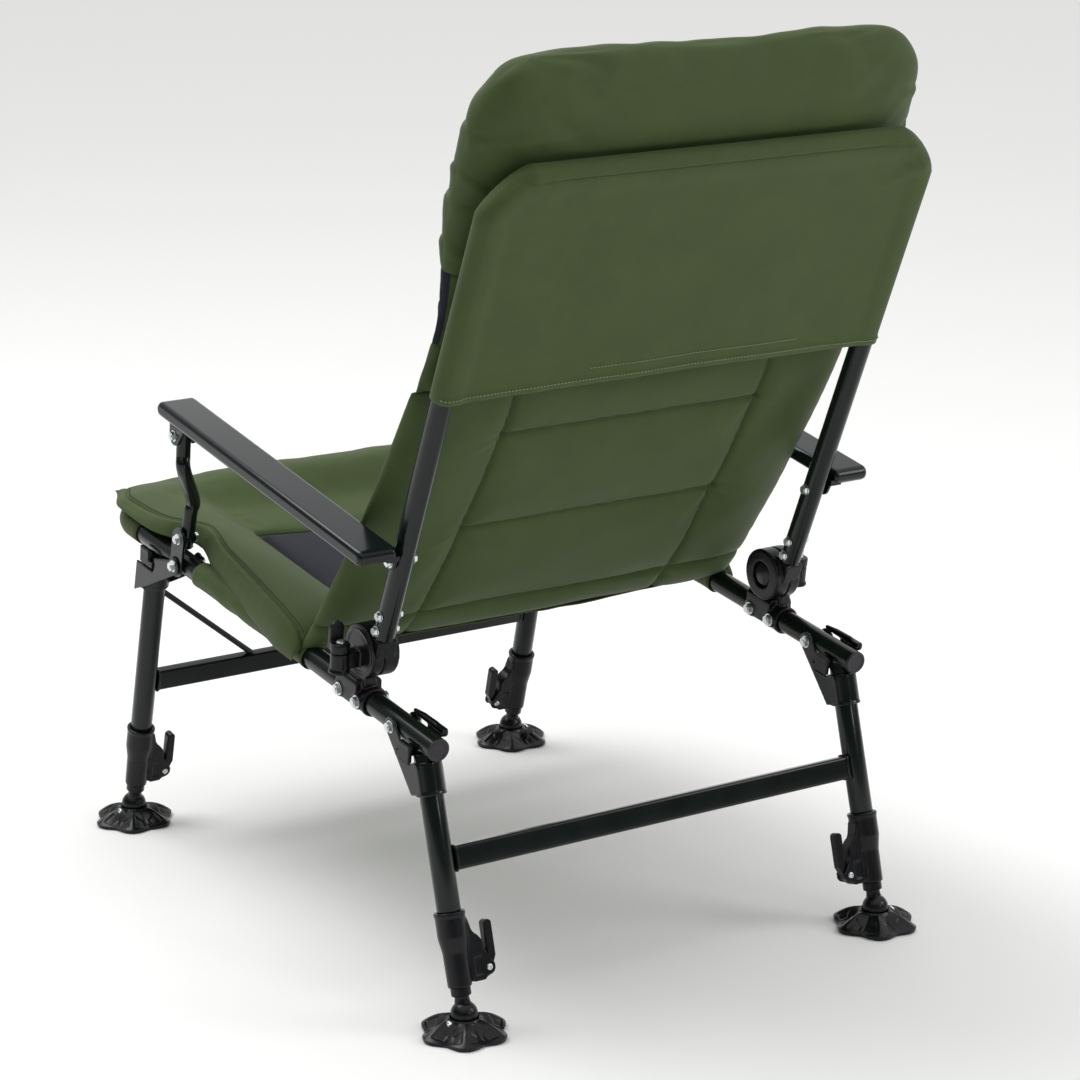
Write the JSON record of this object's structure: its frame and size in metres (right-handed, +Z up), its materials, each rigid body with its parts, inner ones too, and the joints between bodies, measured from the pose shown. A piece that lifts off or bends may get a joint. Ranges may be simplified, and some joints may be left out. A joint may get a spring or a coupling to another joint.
{
  "type": "folding reclining fishing chair",
  "caption": "Folding, reclining fishing chair with a padded seat and back, flat armrests, telescopic cam-lock legs and swivelling mud feet.",
  "frame": {"origin": "on the floor, midway between the chair's front and rear and between its sides", "axes": "+Z up; -Y is the way the sitter faces; +X is the sitter's left"},
  "size_m": [0.648, 0.8369, 1.0026],
  "materials": {
    "frame_paint": "dark green-black gloss paint on steel tube",
    "moulded_plastic": "black moulded nylon",
    "armrest_plastic": "smooth near-black plastic",
    "zinc_bolts": "bright zinc-plated steel",
    "seat_fabric": "olive coated polyester cloth",
    "padding": "olive polyester over foam"
  },
  "bodies": {
    "seat": {"seat_frame": "frame_paint", "seat_sling": "seat_fabric", "seat_pad": "padding", "rail_cap_left": "moulded_plastic", "hub_saddle_left": "moulded_plastic", "hub_bolt_left": "zinc_bolts", "post_strip_left": "frame_paint", "rear_pivot_bolt_left": "zinc_bolts", "front_pivot_bolt_left": "zinc_bolts", "rail_cap_right": "moulded_plastic", "hub_saddle_right": "moulded_plastic", "hub_bolt_right": "zinc_bolts", "post_strip_right": "frame_paint", "rear_pivot_bolt_right": "zinc_bolts", "front_pivot_bolt_right": "zinc_bolts"},
    "back": {"back_frame": "frame_paint", "back_pad": "padding", "lumbar_pad": "padding", "headrest_pad": "padding", "back_cover": "seat_fabric", "hub_rotor_left": "moulded_plastic", "hub_rotor_right": "moulded_plastic", "arm_rear_bolt_left": "zinc_bolts", "arm_rear_bolt_right": "zinc_bolts"},
    "armrest_left": {"armrest_left": "armrest_plastic", "arm_clevis_left": "frame_paint", "clevis_screw_left": "zinc_bolts"},
    "arm_post_left": {"arm_post_left": "frame_paint"},
    "hub_lever_left": {"hub_lever_left": "moulded_plastic"},
    "armrest_right": {"armrest_right": "armrest_plastic", "arm_clevis_right": "frame_paint", "clevis_screw_right": "zinc_bolts"},
    "arm_post_right": {"arm_post_right": "frame_paint"},
    "hub_lever_right": {"hub_lever_right": "moulded_plastic"},
    "rear_legs": {"rear_leg_left": "frame_paint", "rear_leg_right": "frame_paint", "rear_crossbar": "frame_paint", "rear_collar_left": "moulded_plastic", "rear_collar_right": "moulded_plastic"},
    "rear_inner_leg_left": {"rear_inner_leg_left": "moulded_plastic"},
    "rear_mud_foot_left": {"rear_mud_foot_left": "moulded_plastic"},
    "rear_cam_lever_left": {"rear_cam_lever_left": "moulded_plastic"},
    "latch_rear_left": {"latch_rear_left": "moulded_plastic"},
    "rear_inner_leg_right": {"rear_inner_leg_right": "moulded_plastic"},
    "rear_mud_foot_right": {"rear_mud_foot_right": "moulded_plastic"},
    "rear_cam_lever_right": {"rear_cam_lever_right": "moulded_plastic"},
    "latch_rear_right": {"latch_rear_right": "moulded_plastic"},
    "front_legs": {"front_leg_left": "frame_paint", "front_leg_right": "frame_paint", "front_crossbar": "frame_paint", "front_collar_left": "moulded_plastic", "front_collar_right": "moulded_plastic"},
    "front_inner_leg_left": {"front_inner_leg_left": "moulded_plastic"},
    "front_mud_foot_left": {"front_mud_foot_left": "moulded_plastic"},
    "front_cam_lever_left": {"front_cam_lever_left": "moulded_plastic"},
    "latch_front_left": {"latch_front_left": "moulded_plastic"},
    "front_inner_leg_right": {"front_inner_leg_right": "moulded_plastic"},
    "front_mud_foot_right": {"front_mud_foot_right": "moulded_plastic"},
    "front_cam_lever_right": {"front_cam_lever_right": "moulded_plastic"},
    "latch_front_right": {"latch_front_right": "moulded_plastic"}
  },
  "joints": [
    {"name": "back_fold", "type": "hinge", "parent": "seat", "child": "back", "pos_m": [0, 0.16795, 0.36005], "axis": [1, 0, 0], "range_deg": [-35, 90], "deforming": ["seat_pad", "lumbar_pad"]},
    {"name": "armrest_swing_left", "type": "hinge", "parent": "back", "child": "armrest_left", "pos_m": [0, 0.23304, 0.47184], "axis": [1, 0, 0], "range_deg": [-88.07, 34.55]},
    {"name": "arm_post_swing_left", "type": "hinge", "parent": "seat", "child": "arm_post_left", "pos_m": [0, -0.21707, 0.38901], "axis": [1, 0, 0], "range_deg": [-32.14, 81.86]},
    {"name": "hub_lever_turn_left", "type": "hinge", "parent": "seat", "child": "hub_lever_left", "pos_m": [0.298, 0.15914, 0.30934], "axis": [0, 0.1212, 0.9926], "range_deg": [0, 100]},
    {"name": "armrest_swing_right", "type": "hinge", "parent": "back", "child": "armrest_right", "pos_m": [0, 0.23304, 0.47184], "axis": [1, 0, 0], "range_deg": [-88.07, 34.55]},
    {"name": "arm_post_swing_right", "type": "hinge", "parent": "seat", "child": "arm_post_right", "pos_m": [0, -0.21707, 0.38901], "axis": [1, 0, 0], "range_deg": [-32.14, 81.86]},
    {"name": "hub_lever_turn_right", "type": "hinge", "parent": "seat", "child": "hub_lever_right", "pos_m": [-0.298, 0.15914, 0.30934], "axis": [0, -0.1212, -0.9926], "range_deg": [0, 100]},
    {"name": "rear_legs_fold", "type": "hinge", "parent": "seat", "child": "rear_legs", "pos_m": [0, 0.24044, 0.29941], "axis": [-1, 0, 0], "range_deg": [0, 106.9]},
    {"name": "rear_leg_slide_left", "type": "slide", "parent": "rear_legs", "child": "rear_inner_leg_left", "axis": [0, -0.2731, 0.962], "range_m": [-0.11, 0]},
    {"name": "rear_foot_tilt_left", "type": "hinge", "parent": "rear_inner_leg_left", "child": "rear_mud_foot_left", "pos_m": [0.268, 0.35725, 0.022], "axis": [1, 0, 0], "range_deg": [-20, 20]},
    {"name": "rear_cam_lever_turn_left", "type": "hinge", "parent": "rear_legs", "child": "rear_cam_lever_left", "pos_m": [0.235, 0.34575, 0.06253], "axis": [0, 0.962, 0.2731], "range_deg": [-100, 0]},
    {"name": "latch_rear_turn_left", "type": "hinge", "parent": "rear_legs", "child": "latch_rear_left", "pos_m": [0.268, 0.23828, 0.28175], "axis": [0, -0.9926, 0.1212], "range_deg": [0, 8], "stiffness_Nm_per_rad": 1.2, "springref_deg": -2.86},
    {"name": "rear_leg_slide_right", "type": "slide", "parent": "rear_legs", "child": "rear_inner_leg_right", "axis": [0, -0.2731, 0.962], "range_m": [-0.11, 0]},
    {"name": "rear_foot_tilt_right", "type": "hinge", "parent": "rear_inner_leg_right", "child": "rear_mud_foot_right", "pos_m": [-0.268, 0.35725, 0.022], "axis": [1, 0, 0], "range_deg": [-20, 20]},
    {"name": "rear_cam_lever_turn_right", "type": "hinge", "parent": "rear_legs", "child": "rear_cam_lever_right", "pos_m": [-0.235, 0.34575, 0.06253], "axis": [0, -0.962, -0.2731], "range_deg": [-100, 0]},
    {"name": "latch_rear_turn_right", "type": "hinge", "parent": "rear_legs", "child": "latch_rear_right", "pos_m": [-0.268, 0.23828, 0.28175], "axis": [0, -0.9926, 0.1212], "range_deg": [0, 8], "stiffness_Nm_per_rad": 1.2, "springref_deg": -2.86},
    {"name": "front_legs_fold", "type": "hinge", "parent": "seat", "child": "front_legs", "pos_m": [0, -0.2251, 0.35625], "axis": [1, 0, 0], "range_deg": [0, 79]},
    {"name": "front_leg_slide_left", "type": "slide", "parent": "front_legs", "child": "front_inner_leg_left", "axis": [0, 0.2343, 0.9722], "range_m": [-0.11, 0]},
    {"name": "front_foot_tilt_left", "type": "hinge", "parent": "front_inner_leg_left", "child": "front_mud_foot_left", "pos_m": [0.268, -0.3775, 0.022], "axis": [1, 0, 0], "range_deg": [-20, 20]},
    {"name": "front_cam_lever_turn_left", "type": "hinge", "parent": "front_legs", "child": "front_cam_lever_left", "pos_m": [0.235, -0.36757, 0.06319], "axis": [0, 0.9722, -0.2343], "range_deg": [-100, 0]},
    {"name": "latch_front_turn_left", "type": "hinge", "parent": "front_legs", "child": "latch_front_left", "pos_m": [0.268, -0.22726, 0.33858], "axis": [0, -0.9926, 0.1212], "range_deg": [0, 8], "stiffness_Nm_per_rad": 1.2, "springref_deg": -2.86},
    {"name": "front_leg_slide_right", "type": "slide", "parent": "front_legs", "child": "front_inner_leg_right", "axis": [0, 0.2343, 0.9722], "range_m": [-0.11, 0]},
    {"name": "front_foot_tilt_right", "type": "hinge", "parent": "front_inner_leg_right", "child": "front_mud_foot_right", "pos_m": [-0.268, -0.3775, 0.022], "axis": [1, 0, 0], "range_deg": [-20, 20]},
    {"name": "front_cam_lever_turn_right", "type": "hinge", "parent": "front_legs", "child": "front_cam_lever_right", "pos_m": [-0.235, -0.36757, 0.06319], "axis": [0, -0.9722, 0.2343], "range_deg": [-100, 0]},
    {"name": "latch_front_turn_right", "type": "hinge", "parent": "front_legs", "child": "latch_front_right", "pos_m": [-0.268, -0.22726, 0.33858], "axis": [0, -0.9926, 0.1212], "range_deg": [0, 8], "stiffness_Nm_per_rad": 1.2, "springref_deg": -2.86}
  ],
  "couplings": [
    {"joint": "armrest_swing_left", "follows": "back_fold", "ratio": -0.973},
    {"joint": "arm_post_swing_left", "follows": "back_fold", "ratio": 0.904},
    {"joint": "armrest_swing_right", "follows": "back_fold", "ratio": -0.973},
    {"joint": "arm_post_swing_right", "follows": "back_fold", "ratio": 0.904}
  ]
}
